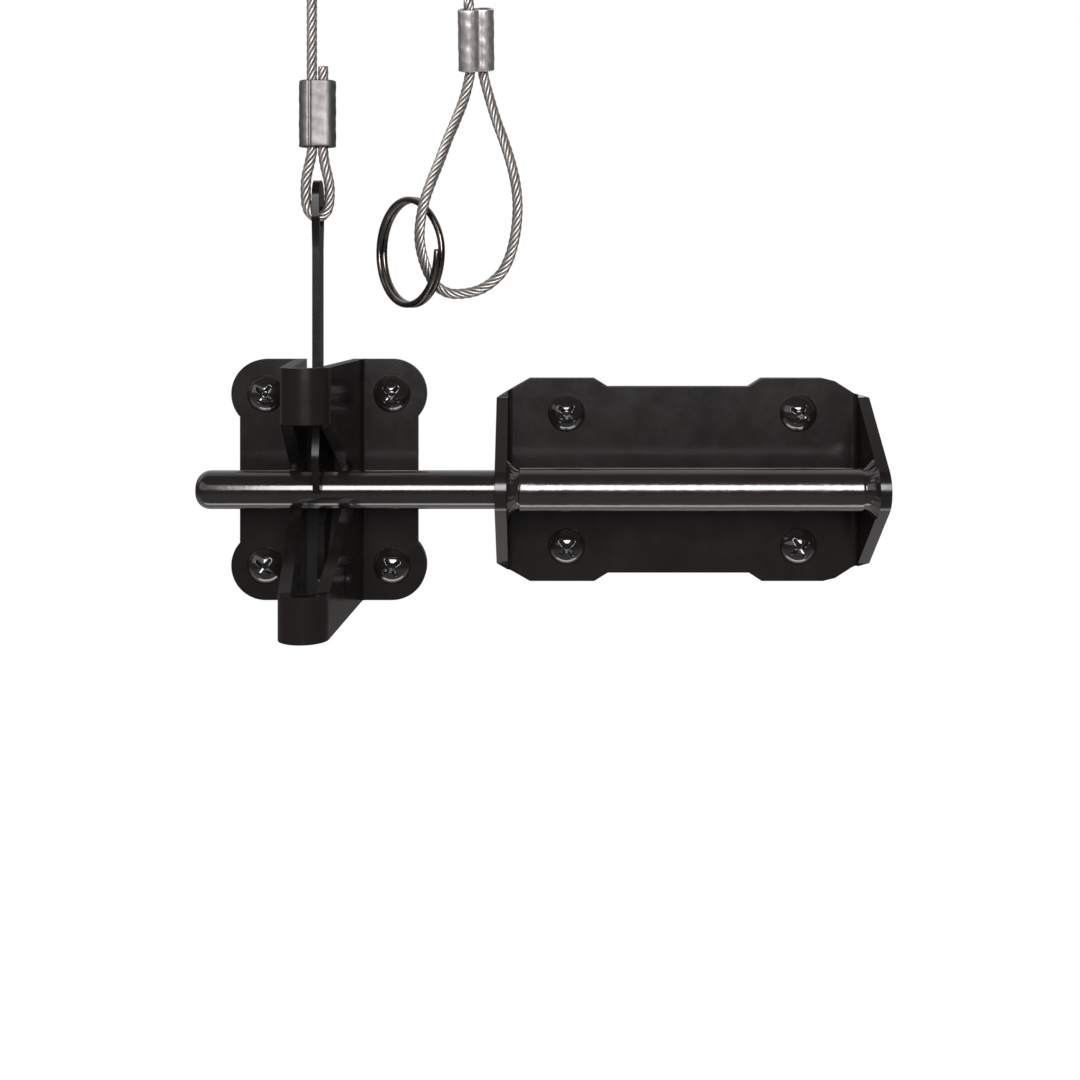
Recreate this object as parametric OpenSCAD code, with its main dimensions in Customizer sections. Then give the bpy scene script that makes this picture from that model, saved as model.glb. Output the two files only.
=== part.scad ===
// Gravity gate latch. The post side is a folded channel with a V mouth and a pawl that drops
// in front of the bar. The gate side is a folded plate with two ears that carry the bar.
// A wire rope is looped through the pawl's eye, passes over a hook and ends in a pull ring.
// Millimetres. X runs along the bar and Z is up. The posts' faces are the plane Y = 0, and
// the front is toward -Y. The origin is the middle of the post side's four screws.

/* [Folded sheet] */
// Thickness of both folded plates
sheet_t = 3; // [2.8:0.1:3.2]
// Inside radius of the gate plate's bends
bend_in_r = 1.5; // [1:0.1:2]
// Inside radius of the post side's sharper bends
press_r = 0.9; // [0.8:0.1:1]

/* [Post side] */
// Height of the plate and of the channel
latch_h = 63.4; // [60:0.2:66]
// Width of the plate at its waist
waist_w = 46.8; // [45:0.2:48]
// Radius of the four round lobes
lobe_r = 9.1; // [8.8:0.1:9.4]
// Outside width of the channel where it leaves the plate
channel_w = 17.9; // [17:0.1:18.5]
// Outside width of the channel at its nose
nose_w = 12; // [11:0.1:13]
// Depth of the channel above the mouth, from the post to the front of the nose
channel_d = 47; // [46:0.5:48]
// Depth of the channel below the mouth
lower_d = 50; // [49:0.5:51]
// Distance between the screws along X
latch_screw_x = 33.2; // [32:0.1:34]
// Distance between the screws along Z
latch_screw_z = 45.2; // [44:0.1:46]

/* [V mouth] */
// Angle of the mouth's upper edge above level
upper_a = 28; // [24:1:30]
// Angle of the mouth's lower edge below level
lower_a = 27.5; // [25:0.5:30]
// Radius of the round throat
throat_r = 6.2; // [5.6:0.1:6.4]
// Depth of the throat's centre in front of the post
throat_d = 18.5; // [18:0.5:19]
// Height of the mouth's middle
mouth_z = -0.5; // [-1:0.1:0]
// Diameter of the padlock hole
padlock_d = 6.6; // [5:0.1:7]
// Depth of the padlock hole in front of the post
padlock_depth = 24.5; // [24:0.1:26]
// Height of the padlock hole
padlock_z = -21.3; // [-22:0.1:-20]

/* [Pawl] */
// Thickness of the pawl
pawl_t = 1.8; // [1.6:0.1:2]
// Sideways place of the pawl's middle
pawl_x = 0.5; // [0.3:0.1:0.6]
// Width of the arm
arm_w = 7; // [6:0.5:8]
// Depth of the arm's middle in front of the post
arm_depth = 25.2; // [25:0.1:26]
// Height of the eye
eye_z = 68; // [66:0.5:70]
// Diameter of the eye
eye_d = 5.2; // [5:0.1:5.4]
// Diameter of the pivot pin
pin_d = 4; // [3.6:0.1:4.2]
// Depth of the pivot in front of the post
pivot_depth = 8; // [7.8:0.1:8.2]
// Height of the pivot
pivot_z = -1.5; // [-2:0.1:-1]

/* [Bar] */
// Diameter of the bar
bar_d = 9.6; // [9:0.1:9.6]
// Depth of the bar's axis in front of the post
bar_depth = 21.3; // [21.1:0.1:21.5]
// Diameter of the sleeve between the ears
sleeve_d = 10.8; // [10.4:0.1:11.4]
// Left end of the bar
bar_x = -30.4; // [-31:0.1:-30]
// Rounding of the bar's left end
bar_round_r = 3.6; // [3:0.1:4.2]

/* [Gate side] */
// Outside width across the two ears
striker_w = 97.7; // [95:0.1:98]
// Sideways place of the plate's middle
striker_x = 93; // [93:0.5:95]
// Distance between the screws along X
striker_screw_x = 61; // [60:0.5:62]
// Distance between the screws along Z
striker_screw_z = 35; // [34:0.5:36]
// Half height of the plate at its lobes
striker_lobe_z = 26.7; // [26:0.1:27]
// Half height of the plate between its lobes
striker_waist_z = 24.5; // [24:0.1:25]
// Half height of the ears where they leave the plate
ear_z = 21.7; // [21:0.1:22.5]
// Radius of the ears' round tips
ear_tip_r = 6.6; // [6.4:0.1:7]

/* [Screws] */
// Diameter of the screws' heads
head_d = 9.7; // [9:0.1:10]
// Height of the screws' heads
head_h = 3; // [2.6:0.1:3.2]
// Diameter of the screws' shanks
shank_d = 4.8; // [4.6:0.1:4.8]
// Diameter of the screws' plain necks, inside the plates
neck_d = 5.3; // [5.2:0.1:5.4]
// Length of the shanks behind the plates
shank_l = 26; // [20:1:32]

/* [Release cable] */
// Diameter of the wire rope
cable_d = 2.6; // [2.4:0.1:2.8]
// Length of the crimped sleeve above the pawl
ferrule_l = 16.4; // [15:0.1:17]
// Length of the crimped sleeve above the large loop
pull_ferrule_l = 15.2; // [15:0.1:16]
// Lean of that sleeve toward the user at its top
pull_lean = 18; // [16:1:20]
// Turn of that sleeve about its own axis
pull_turn = 20; // [18:1:22]
// Outside diameter of the pull ring
ring_d = 28; // [27:0.5:29]
// Turn of the pull ring about the vertical
ring_turn = 52; // [50:1:54]

/* [Hidden] */
$fn = 64;
eps = 0.01;
black = "#1c1918";
bend_out_r = bend_in_r + sheet_t;

// Channel of the post side: each wall is a tangent from the plate to the round nose.
nose_r = nose_w / 2;
wall_a = wall_lean(channel_d);
back_r = 0.8;

// Pivot pin and the spacers on it
pivot_y = -pivot_depth;
pin_r = pin_d / 2;
rivet_head_r = 2.9;
rivet_head_h = 1.2;
rivet_x = wall_x(pivot_y + rivet_head_r) + 0.05;
spacer_r = 3.4;
spacer_x = wall_x(pivot_y - spacer_r) - sheet_t / cos(wall_a) - 0.1;
side_gap = 0.15;
run_gap = 0.05;

// Pawl: the notch keeps clear of the bar over the whole lift.
pawl_lift = 15.5;
bar_c = [-bar_depth, 0];
pivot_c = [pivot_y, pivot_z];
notch_r = bar_d / 2 + 0.5;
bar_arm = bar_c - pivot_c;
lifted_c = pivot_c + [
    bar_arm[0] * cos(pawl_lift) - bar_arm[1] * sin(pawl_lift),
    bar_arm[0] * sin(pawl_lift) + bar_arm[1] * cos(pawl_lift)
];
arm_y = -arm_depth;
head_r = 4.6;
head_z = eye_z + head_r - 0.2;
hub_r = 5.4;
tail_tip = [-18.6, -21.6];
tail_tip_r = 1.9;

// Gate side
ear_x = striker_w / 2;
left_ear_x = striker_x - ear_x;
right_ear_x = striker_x + ear_x;
bar_end_x = right_ear_x + 0.3;
weld_l = 3;
weld_h = 2.6;
weld_cut_r = 2;
hole_gap = 0.05;

// Screws
screw_hole_r = 2.8;
recess_l = 5.2;
recess_w = 1;
recess_d = 1.7;
tip_l = 3;

// Cable: the left and right strands hang straight down from the arch over the hook.
cable_r = cable_d / 2;
strand_x = [-1, 38];
arch_x = (strand_x[0] + strand_x[1]) / 2;
arch_r = (strand_x[1] - strand_x[0]) / 2;
arch_z = 130;
ferrule_z = 85.2;
pull_ferrule_c = [39.6, -25.2, 111.7];
pull_gap = 3.6;
swing_gap = [0.5, 0.2];
ferrule_t = 5.2;
lobe_spread = 3.9;
bore_gap = 2.8;
stub_l = 3.4;

// Route of the small loop through the pawl's eye, as [X, Z] in the plane of the arm
release_route = [
    [-1, 85.2], [-1, 84], [-1.6, 81], [-2.2, 78.5], [-2.5, 76], [-2.5, 73.5], [-2.3, 71],
    [-1.7, 69.3], [-0.8, 68.3], [0.4, 68], [1.6, 68.3], [2.6, 69.3], [3.2, 71],
    [3.4, 73.5], [3.3, 76], [2.8, 78.5], [2.2, 81], [1.8, 84], [1.8, 85.2]
];

// Route of the short stretch from the arch down to the upper sleeve, as [X, Y, Z]
pull_strand_route = [
    [38, -25.2, arch_z - swing_gap[1]], [38, -25.2, 128.6], [38, -25.7, 126.4],
    [38, -26.9, 123.8], [37.9, -28.1, 121.4],
    in_sleeve(-1, 1, 1.2), in_sleeve(-1, 1, 0)
];

// Route of the large loop that carries the pull ring, as [X, Y, Z]
pull_route = [
    in_sleeve(-1, -1, 0), in_sleeve(-1, -1, 1.2), [36.5, -22.6, 97.5], [34.5, -23.6, 92],
    [32.5, -25, 87], [30.8, -26.5, 82], [28.9, -27.8, 77], [27.2, -28.5, 72],
    [26.1, -28.2, 67], [25.8, -27.2, 62], [26.7, -25.6, 57], [28.6, -23.8, 52.4],
    [31.2, -23.2, 49.8], [34.8, -23.4, 48.9], [40.5, -23.8, 50], [45.2, -24.2, 53.4],
    [47.6, -24.6, 57.4], [49, -24.8, 62.2], [49.7, -25, 67.2], [49.8, -25.2, 72],
    [49.2, -25, 77], [48, -24.5, 82], [46.4, -23.6, 87], [44.6, -22.6, 92],
    [42.9, -21.9, 97.5], in_sleeve(1, -1, 1.2), in_sleeve(1, -1, 0)
];

// Pull ring: two turns of wire, here as one closed ring
ring_c = [22.6, -18.7, 59.4];
ring_wire = 1.6;
ring_axial = 2.8;

// Hook that the cable hangs over
hook_r = 2.2;
hook_flange_r = 8;
hook_flange_t = 2.5;
hook_z = arch_z + arch_r - cable_r - hook_r - 0.05;
hook_bend_r = 4;
hook_bend_y = arm_y - 4;
hook_up = 3;

// A place on the leaning sleeve's cable: which bore, which end, and how far out of that end
function in_sleeve(bore, end, out) =
    let (
        x = bore * pull_gap / 2 * cos(pull_turn),
        y = bore * pull_gap / 2 * sin(pull_turn),
        z = end * (pull_ferrule_l / 2 + out)
    )
    pull_ferrule_c + [
        x, y * cos(pull_lean) - z * sin(pull_lean), y * sin(pull_lean) + z * cos(pull_lean)
    ];

// Angle between a wall and the Y axis, for a channel of this depth
function wall_lean(depth) =
    let (run = depth - nose_r - sheet_t)
    atan(channel_w / 2 / run) - asin(nose_r / norm([channel_w / 2, run]));

// Half width of the channel's outside at a place on its wall
function wall_x(y, lean = wall_a) = channel_w / 2 + (y + sheet_t) * tan(lean);
function unit(v) = v / norm(v);
function arc(c, r, a, b, steps = 20) =
    [for (i = [0 : steps]) let (t = a + (b - a) * i / steps) c + r * [cos(t), sin(t)]];
function flipped(path) = [for (p = path) [-p[0], p[1]]];
function reversed(path) = [for (i = [len(path) - 1 : -1 : 0]) path[i]];
// A path without its last point
function shorter(path) = [for (i = [0 : len(path) - 2]) path[i]];
// Direction of a route at one of its points
function heading(path, i) =
    i == 0 ? unit(path[1] - path[0]) :
    i == len(path) - 1 ? unit(path[i] - path[i - 1]) :
    unit(unit(path[i + 1] - path[i]) + unit(path[i] - path[i - 1]));
function across(t) = unit(cross(t, [0, 1, 0]));
function ring_points(p, t, r, sides) =
    let (a = across(t), b = cross(t, a))
    [for (k = [0 : sides - 1]) p + r * (cos(360 * k / sides) * a + sin(360 * k / sides) * b)];

// Extrudes a [Y, Z] outline along X
module along_x(x_low, x_high)
    translate([x_low, 0, 0]) rotate([90, 0, 90]) linear_extrude(x_high - x_low) children();

// Extrudes an [X, Z] outline along Y
module along_y(y_low, y_high)
    translate([0, y_high, 0]) rotate([90, 0, 0]) linear_extrude(y_high - y_low) children();

module both_sides() {
    children();
    mirror([1, 0, 0]) children();
}

// A tube swept along a route, with one ring of points at each point of the route
module tube(path, r, sides = 8) {
    n = len(path);
    rings = [for (i = [0 : n - 1]) ring_points(path[i], heading(path, i), r, sides)];
    skin = [
        for (i = [0 : n - 2]) for (k = [0 : sides - 1])
            [i * sides + k, (i + 1) * sides + k, (i + 1) * sides + (k + 1) % sides,
             i * sides + (k + 1) % sides]
    ];
    first_cap = [for (k = [0 : sides - 1]) k];
    last_cap = [for (k = [sides - 1 : -1 : 0]) (n - 1) * sides + k];
    polyhedron([for (one = rings) each one], concat(skin, [first_cap, last_cap]));
}

// One face of the folded sheet's right half: the flange's end, the bend and half of the nose.
// inset is how far the face lies behind the front face.
function fold_face(end, inset, bend_r, depth) =
    let (
        lean = wall_lean(depth),
        bend_y = inset - sheet_t - bend_r,
        bend_x = wall_x(bend_y, lean) + (bend_r - inset) / cos(lean)
    )
    concat(
        [[end, inset - sheet_t]],
        arc([bend_x, bend_y], bend_r, 90, 180 - lean),
        arc([0, nose_r - depth], nose_r - inset, -lean, -90)
    );

// The whole folded section: two flanges against the post, two bends and the channel
module latch_section(depth) {
    flange_x = latch_screw_x / 2 + 2 * lobe_r;
    front = fold_face(flange_x, 0, press_r, depth);
    back = fold_face(flange_x, sheet_t, back_r, depth);
    polygon(concat(
        front, flipped(reversed(shorter(front))),
        flipped(shorter(back)), reversed(back)
    ));
}

// The post side seen from the front: a waisted plate with a round lobe at each corner
module latch_silhouette() {
    square([latch_screw_x, latch_h], center = true);
    square([waist_w, latch_screw_z], center = true);
    for (sx = [-1, 1], sz = [-1, 1])
        translate([sx * latch_screw_x / 2, sz * latch_screw_z / 2]) circle(lobe_r);
}

// The V mouth: a round throat and two straight edges that leave it as tangents. The edges run
// level across the nose.
module mouth_outline() {
    throat = [-throat_d, mouth_z];
    front = -lower_d - 5;
    upper = throat + throat_r * [sin(upper_a), cos(upper_a)];
    lower = throat + throat_r * [sin(lower_a), -cos(lower_a)];
    upper_y = nose_r - channel_d;
    lower_y = nose_r - lower_d;
    top = upper[1] + (upper[0] - upper_y) * tan(upper_a);
    bottom = lower[1] - (lower[0] - lower_y) * tan(lower_a);
    translate(throat) circle(throat_r);
    polygon([
        throat, upper, [upper_y, top], [front, top], [front, bottom], [lower_y, bottom], lower
    ]);
}

module latch_body() {
    cut_x = channel_w;
    lap = 0.5;
    color(black) difference() {
        intersection() {
            union() {
                translate([0, 0, mouth_z - lap]) linear_extrude(latch_h) latch_section(channel_d);
                translate([0, 0, mouth_z + lap - latch_h])
                    linear_extrude(latch_h) latch_section(lower_d);
            }
            along_y(-2 * channel_d, sheet_t) latch_silhouette();
        }
        along_x(-cut_x, cut_x) mouth_outline();
        along_x(-cut_x, cut_x) translate(pivot_c) circle(pin_r + run_gap);
        along_x(-cut_x, cut_x) translate([-padlock_depth, padlock_z]) circle(padlock_d / 2);
        for (sx = [-1, 1], sz = [-1, 1])
            along_y(-2 * sheet_t, sheet_t)
                translate([sx * latch_screw_x / 2, sz * latch_screw_z / 2]) circle(screw_hole_r);
    }
}

// A low dome on the end of the pin, outside the wall
module rivet_head() {
    dome_r = (rivet_head_r * rivet_head_r + rivet_head_h * rivet_head_h) / (2 * rivet_head_h);
    rotate_extrude() intersection() {
        translate([0, rivet_head_h - dome_r]) circle(dome_r);
        square([rivet_head_r, rivet_head_h]);
    }
}

module pivot_pin() {
    color(black) translate([0, pivot_y, pivot_z]) {
        rotate([0, 90, 0])
            cylinder(h = 2 * rivet_x + rivet_head_h, r = pin_r, center = true);
        both_sides() translate([rivet_x, 0, 0]) rotate([0, 90, 0]) rivet_head();
    }
}

// A short tube on the pivot pin
module spacer(x_low, x_high) {
    color("dimgray") along_x(x_low, x_high) translate(pivot_c) difference() {
        circle(spacer_r);
        circle(pin_r + run_gap);
    }
}

module spacer_left() {
    spacer(-spacer_x, pawl_x - pawl_t / 2 - side_gap);
}

module spacer_right() {
    spacer(pawl_x + pawl_t / 2 + side_gap, spacer_x);
}

// Outline of the pawl before the notch and the holes are cut, as [Y, Z]
module pawl_blank() {
    front = arm_y - arm_w / 2;
    back = arm_y + arm_w / 2;
    for (z = [eye_z, head_z]) translate([arm_y, z]) circle(head_r);
    translate([arm_y - head_r, eye_z]) square([2 * head_r, head_z - eye_z]);
    polygon([
        [arm_y - head_r, eye_z], [front, eye_z - 8], [front, 14], [front - 1.2, 10],
        [front - 1.2, 6.5], [front + 0.9, 0.3], [-26.3, 0.3], [-24, 8], [-14, -4],
        [-8, 3.6], [-4, 2], [-6, 10], [-17, 22], [back, 31], [back, eye_z - 8],
        [arm_y + head_r, eye_z]
    ]);
    polygon([
        [-16, -4], [-20.5, -9.6], [-20.5, -21.6], tail_tip, tail_tip + [1.2, -1.5],
        [-2.8, -3], [-5, 2], [-12, 2]
    ]);
    translate(tail_tip) circle(tail_tip_r);
    translate(pivot_c) circle(hub_r);
}

// The room that the bar needs in the pawl, from the pawl's rest to its full lift
module pawl_notch() {
    side = notch_r * unit([lifted_c[1] - bar_c[1], bar_c[0] - lifted_c[0]]);
    translate(bar_c) circle(notch_r);
    translate(lifted_c) circle(notch_r);
    polygon([bar_c + side, lifted_c + side, lifted_c - side, bar_c - side]);
}

module pawl() {
    color(black) along_x(pawl_x - pawl_t / 2, pawl_x + pawl_t / 2) difference() {
        pawl_blank();
        pawl_notch();
        translate(pivot_c) circle(pin_r + run_gap);
        translate([arm_y, eye_z]) circle(eye_d / 2);
    }
}

// Upper edge of the gate plate seen from the front, about its own middle, bends included
function striker_edge() = [
    [-ear_x, ear_z], [-40.1, striker_lobe_z], [-23.2, striker_lobe_z],
    [-19.6, striker_waist_z], [17.5, striker_waist_z], [20.9, striker_lobe_z],
    [37, striker_lobe_z], [40.2, striker_lobe_z - 0.8], [45.2, ear_z + 1], [ear_x, ear_z]
];

module striker_outline() {
    lower = [for (p = reversed(striker_edge())) [p[0], -p[1]]];
    polygon(concat(striker_edge(), lower));
}

// Outline of an ear in front of the bend, as [Y, Z]: tangents from the plate to the round tip
module ear_outline() {
    root = [-bend_out_r, ear_z];
    tip = [-bar_depth, 0];
    away = tip - root;
    slant = atan2(away[1], away[0]) - asin(ear_tip_r / norm(away));
    touch = tip + ear_tip_r * [sin(slant), -cos(slant)];
    polygon([root, touch, tip, [touch[0], -touch[1]], [root[0], -root[1]]]);
    translate(tip) circle(ear_tip_r);
}

module striker_half() {
    inner_x = ear_x - sheet_t;
    c = [ear_x - bend_out_r, -bend_out_r];
    linear_extrude(2 * striker_lobe_z, center = true) intersection() {
        translate(c) difference() {
            circle(bend_out_r);
            circle(bend_in_r);
        }
        translate(c) square(bend_out_r);
    }
    along_x(inner_x, ear_x) ear_outline();
}

module striker_plate() {
    color(black) translate([striker_x, 0, 0]) difference() {
        intersection() {
            union() {
                along_y(-sheet_t, 0)
                    square([2 * (ear_x - bend_out_r), 2 * striker_lobe_z], center = true);
                both_sides() striker_half();
            }
            along_y(-2 * bar_depth, sheet_t) striker_outline();
        }
        along_x(-ear_x - 1, ear_x + 1) translate(bar_c) circle(bar_d / 2 + hole_gap);
        for (sx = [-1, 1], sz = [-1, 1])
            along_y(-2 * sheet_t, sheet_t)
                translate([sx * striker_screw_x / 2, sz * striker_screw_z / 2])
                    circle(screw_hole_r);
    }
}

// The bar, with a rounded free end
module striker_bar() {
    length = bar_end_x - bar_x;
    end = arc([bar_d / 2 - bar_round_r, bar_round_r], bar_round_r, -90, 0);
    color(black) translate([bar_x, -bar_depth, 0]) rotate([0, 90, 0]) rotate_extrude()
        polygon(concat([[0, 0]], end, [[bar_d / 2, length], [0, length]]));
}

module bar_sleeve() {
    color(black)
        along_x(left_ear_x + sheet_t + weld_l + eps, right_ear_x - sheet_t - weld_l - eps)
            translate(bar_c) difference() {
                circle(sleeve_d / 2);
                circle(bar_d / 2 + hole_gap);
            }
}

// A fillet of weld round the bar, against an ear's inner face
module weld() {
    inner = bar_d / 2 + hole_gap;
    rotate([0, 90, 0]) rotate_extrude() difference() {
        translate([inner, 0]) square([weld_h, weld_l]);
        translate([inner + weld_h, weld_l]) circle(weld_cut_r);
    }
}

module weld_left() {
    color(black) translate([left_ear_x + sheet_t, -bar_depth, 0]) weld();
}

module weld_right() {
    color(black) translate([right_ear_x - sheet_t, -bar_depth, 0]) mirror([1, 0, 0]) weld();
}

// A round-head screw: the head is in front of the plate and the shank runs into the post.
module screw(x, z) {
    cap_r = (head_d * head_d / 4 + head_h * head_h) / (2 * head_h);
    color(black) translate([x, -sheet_t, z]) rotate([90, 0, 0]) {
        difference() {
            rotate_extrude() intersection() {
                translate([0, head_h - cap_r]) circle(cap_r);
                square([head_d / 2, head_h]);
            }
            for (a = [45, 135])
                rotate([0, 0, a]) translate([-recess_l / 2, -recess_w / 2, head_h - recess_d])
                    cube([recess_l, recess_w, head_h]);
        }
        translate([0, 0, -sheet_t]) cylinder(h = sheet_t, d = neck_d);
        translate([0, 0, -sheet_t - shank_l]) cylinder(h = shank_l, d = shank_d);
        translate([0, 0, -sheet_t - shank_l - tip_l])
            cylinder(h = tip_l, d1 = 0.6, d2 = shank_d);
    }
}

module latch_screw(sx, sz) {
    screw(sx * latch_screw_x / 2, sz * latch_screw_z / 2);
}

module striker_screw(sx, sz) {
    screw(striker_x + sx * striker_screw_x / 2, sz * striker_screw_z / 2);
}

module latch_screw_upper_left() {
    latch_screw(-1, 1);
}

module latch_screw_upper_right() {
    latch_screw(1, 1);
}

module latch_screw_lower_left() {
    latch_screw(-1, -1);
}

module latch_screw_lower_right() {
    latch_screw(1, -1);
}

module striker_screw_upper_left() {
    striker_screw(-1, 1);
}

module striker_screw_upper_right() {
    striker_screw(1, 1);
}

module striker_screw_lower_left() {
    striker_screw(-1, -1);
}

module striker_screw_lower_right() {
    striker_screw(1, -1);
}

// The hook: a flange on the post, a level rod and an upturned end
module cable_hook() {
    color("silver") translate([arch_x, 0, hook_z]) {
        along_y(-hook_flange_t, 0) circle(hook_flange_r);
        along_y(hook_bend_y, -hook_flange_t) circle(hook_r);
        translate([0, hook_bend_y, hook_bend_r]) rotate([0, -90, 0]) rotate([0, 0, 180])
            rotate_extrude(angle = 90) translate([hook_bend_r, 0]) circle(hook_r);
        translate([0, hook_bend_y - hook_bend_r, hook_bend_r]) {
            cylinder(h = hook_up, r = hook_r);
            translate([0, 0, hook_up]) sphere(hook_r);
        }
        along_y(0, shank_l) circle(hook_r);
    }
}

module cable_arch() {
    color("lightgray") translate([arch_x, arm_y, arch_z]) rotate([90, 0, 0])
        rotate_extrude(angle = 180) translate([arch_r, 0]) circle(cable_r);
}

// A straight stretch of cable between two heights
module strand(x, z_low, z_high) {
    color("lightgray") translate([x, arm_y, z_low]) cylinder(h = z_high - z_low, r = cable_r);
}

module release_strand() {
    top = ferrule_z + ferrule_l;
    strand(strand_x[0], top, arch_z - swing_gap[0]);
    strand(strand_x[0] + bore_gap, top, top + stub_l);
}

module pull_strand() {
    color("lightgray") tube(pull_strand_route, cable_r);
}

// A crimped sleeve round two runs of cable that lie side by side, about its own middle
module ferrule(length) {
    lobe = ferrule_t / 2;
    color("gray") linear_extrude(length, center = true) {
        for (side = [-1, 1]) translate([side * lobe_spread / 2, 0]) circle(lobe);
        square([lobe_spread, 0.9 * ferrule_t], center = true);
    }
}

module release_ferrule() {
    translate([strand_x[0] + bore_gap / 2, arm_y, ferrule_z + ferrule_l / 2]) ferrule(ferrule_l);
}

module pull_ferrule() {
    translate(pull_ferrule_c) rotate([pull_lean, 0, 0]) rotate([0, 0, pull_turn])
        ferrule(pull_ferrule_l);
}

module release_loop() {
    color("lightgray") tube([for (p = release_route) [p[0], arm_y, p[1]]], cable_r);
}

module pull_loop() {
    color("lightgray") tube(pull_route, cable_r);
}

module pull_ring() {
    color("darkslategray") translate(ring_c) rotate([0, 0, -ring_turn]) rotate([90, 0, 0])
        rotate_extrude() translate([ring_d / 2 - ring_wire / 2, 0])
            square([ring_wire, ring_axial], center = true);
}

latch_body();
pivot_pin();
spacer_left();
spacer_right();
latch_screw_upper_left();
latch_screw_upper_right();
latch_screw_lower_left();
latch_screw_lower_right();
pawl();
striker_plate();
striker_bar();
bar_sleeve();
weld_left();
weld_right();
striker_screw_upper_left();
striker_screw_upper_right();
striker_screw_lower_left();
striker_screw_lower_right();
cable_hook();
cable_arch();
release_strand();
release_ferrule();
release_loop();
pull_strand();
pull_ferrule();
pull_loop();
pull_ring();
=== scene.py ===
"""Looks of the gravity gate latch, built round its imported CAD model.

The CAD frame is kept: metres, X along the bar, Z up, the user in front at -Y.
"""

import math

import bmesh
import bpy
import numpy as np
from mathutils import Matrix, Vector


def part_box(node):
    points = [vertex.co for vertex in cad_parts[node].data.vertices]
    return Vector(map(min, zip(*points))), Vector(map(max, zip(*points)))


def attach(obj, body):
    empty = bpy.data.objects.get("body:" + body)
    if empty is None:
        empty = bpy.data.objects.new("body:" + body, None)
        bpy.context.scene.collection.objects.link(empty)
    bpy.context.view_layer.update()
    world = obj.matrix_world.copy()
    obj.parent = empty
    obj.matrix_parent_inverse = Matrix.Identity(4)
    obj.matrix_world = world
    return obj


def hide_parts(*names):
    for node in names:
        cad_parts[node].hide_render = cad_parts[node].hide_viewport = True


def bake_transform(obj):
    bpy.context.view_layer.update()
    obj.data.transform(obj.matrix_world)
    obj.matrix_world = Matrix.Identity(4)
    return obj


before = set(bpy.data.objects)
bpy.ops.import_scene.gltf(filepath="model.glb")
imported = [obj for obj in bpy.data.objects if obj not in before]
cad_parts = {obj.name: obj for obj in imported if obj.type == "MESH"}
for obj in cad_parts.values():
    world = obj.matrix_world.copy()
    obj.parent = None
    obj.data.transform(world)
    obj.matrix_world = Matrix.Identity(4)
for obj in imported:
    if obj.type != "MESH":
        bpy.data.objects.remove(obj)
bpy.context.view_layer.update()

MM = 0.001
TURN = 2 * math.pi
Y_AXIS = np.array([0.0, 1.0, 0.0])

# ---------------------------------------------------------------- camera

CAMERA_PLACE = (0.0529, -0.370, 0.0499)
CAMERA_LENS = 46.5
CAMERA_SHIFT = (0.0093, -0.2315)


def add_camera():
    data = bpy.data.cameras.new("camera")
    data.lens = CAMERA_LENS
    data.sensor_width = 36
    data.shift_x, data.shift_y = CAMERA_SHIFT
    data.clip_start = 0.01
    camera = bpy.data.objects.new("camera", data)
    camera.location = CAMERA_PLACE
    camera.rotation_euler = (math.pi / 2, 0, 0)
    bpy.context.scene.collection.objects.link(camera)
    bpy.context.scene.camera = camera


add_camera()

# ---------------------------------------------------------------- mesh tools


def add_mesh(name, points, faces, smooth=True, uv=None):
    """A new mesh object. uv gives one (u, v) for each corner of each face, in order."""
    mesh = bpy.data.meshes.new(name)
    mesh.from_pydata([tuple(p) for p in points], [], [tuple(f) for f in faces])
    mesh.polygons.foreach_set("use_smooth", [smooth] * len(mesh.polygons))
    if uv is not None:
        layer = mesh.uv_layers.new(name="UVMap")
        layer.data.foreach_set("uv", np.asarray(uv, np.float32).ravel())
    mesh.update()
    piece = bpy.data.objects.new(name, mesh)
    bpy.context.scene.collection.objects.link(piece)
    return piece


def grid_faces(rings, sides, first=0, closed=False):
    """Quads between neighbouring rings of points; closed joins the last ring to the first."""
    faces = []
    for i in range(rings if closed else rings - 1):
        low, high = first + i * sides, first + ((i + 1) % rings) * sides
        for k in range(sides):
            n = (k + 1) % sides
            faces.append((low + k, low + n, high + n, high + k))
    return faces


def smooth_path(points, step):
    """A smooth line through the points, cut into equal steps."""
    p = np.array(points, float)
    padded = np.vstack([2 * p[0] - p[1], p, 2 * p[-1] - p[-2]])
    line = []
    for a, b, c, d in zip(padded, padded[1:], padded[2:], padded[3:]):
        for t in np.arange(0, 1, 0.05):
            line.append(
                0.5
                * (
                    2 * b
                    + (c - a) * t
                    + (2 * a - 5 * b + 4 * c - d) * t**2
                    + (3 * b - a - 3 * c + d) * t**3
                )
            )
    line.append(p[-1])
    return resampled(np.array(line), step)


def resampled(line, step):
    along = np.concatenate([[0], np.cumsum(np.linalg.norm(np.diff(line, axis=0), axis=1))])
    count = max(2, int(round(along[-1] / step)) + 1)
    places = np.linspace(0, along[-1], count)
    return np.stack([np.interp(places, along, line[:, i]) for i in range(3)], axis=1)


def length_of(path):
    return float(np.linalg.norm(np.diff(path, axis=0), axis=1).sum())


def travelling_frames(path, first=Y_AXIS):
    """Tangent, normal and binormal along a path, carried along it without spin."""
    tangents = np.gradient(path, axis=0)
    tangents /= np.linalg.norm(tangents, axis=1)[:, None]
    normal = first - tangents[0] * (first @ tangents[0])
    normals = []
    for t in tangents:
        normal = normal - t * (normal @ t)
        normal = normal / np.linalg.norm(normal)
        normals.append(normal)
    normals = np.array(normals)
    return tangents, normals, np.cross(tangents, normals)


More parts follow.
